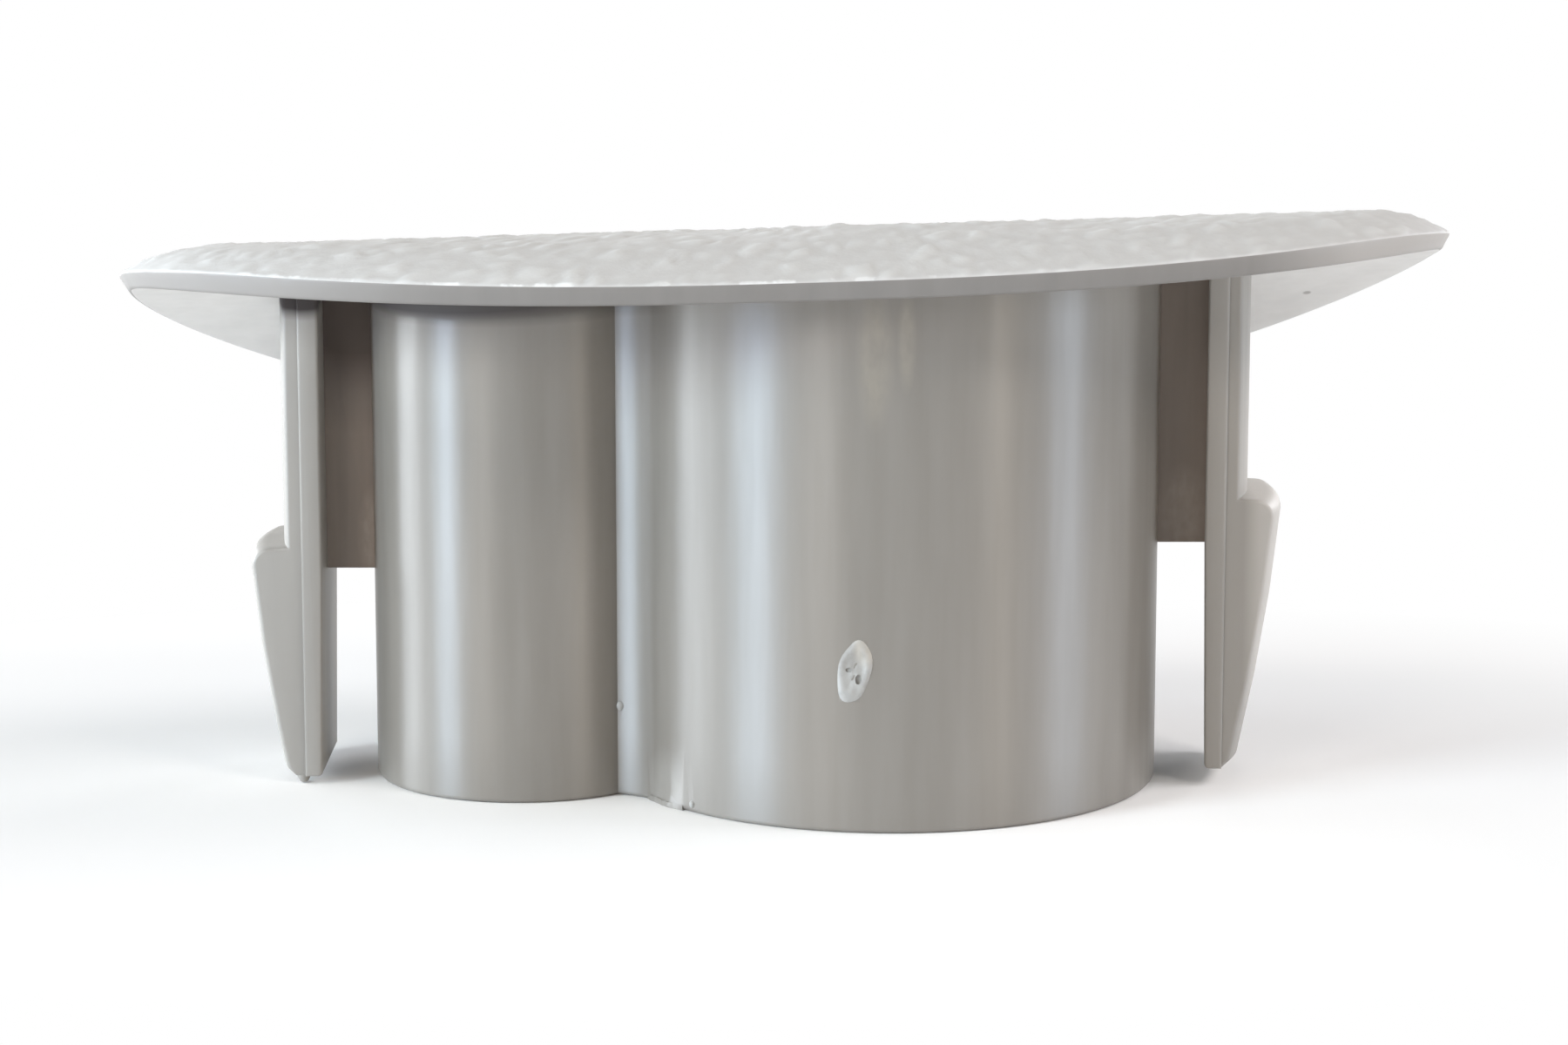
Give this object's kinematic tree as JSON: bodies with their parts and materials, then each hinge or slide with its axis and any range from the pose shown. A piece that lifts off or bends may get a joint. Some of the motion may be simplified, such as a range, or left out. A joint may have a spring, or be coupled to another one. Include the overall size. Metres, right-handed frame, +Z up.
{
  "type": "door lock pin base cap",
  "caption": "Grey moulded trim cap for a door sill: a bent oval flange over a lock pin barrel and a smaller lamp barrel, held by barbed spring legs.",
  "frame": {"origin": "on the lock pin bore axis, in the plane of the barrel ends", "axes": "+Z up the lock pin bore toward the flange, +X along the flange away from the lamp barrel, -Y toward the higher long side of the flange"},
  "size_m": [0.0396, 0.0218, 0.0177],
  "materials": {
    "cap_plastic": "satin grey plastic with a grained flange top"
  },
  "bodies": {
    "root": {"base_cap": "cap_plastic"}
  },
  "joints": []
}
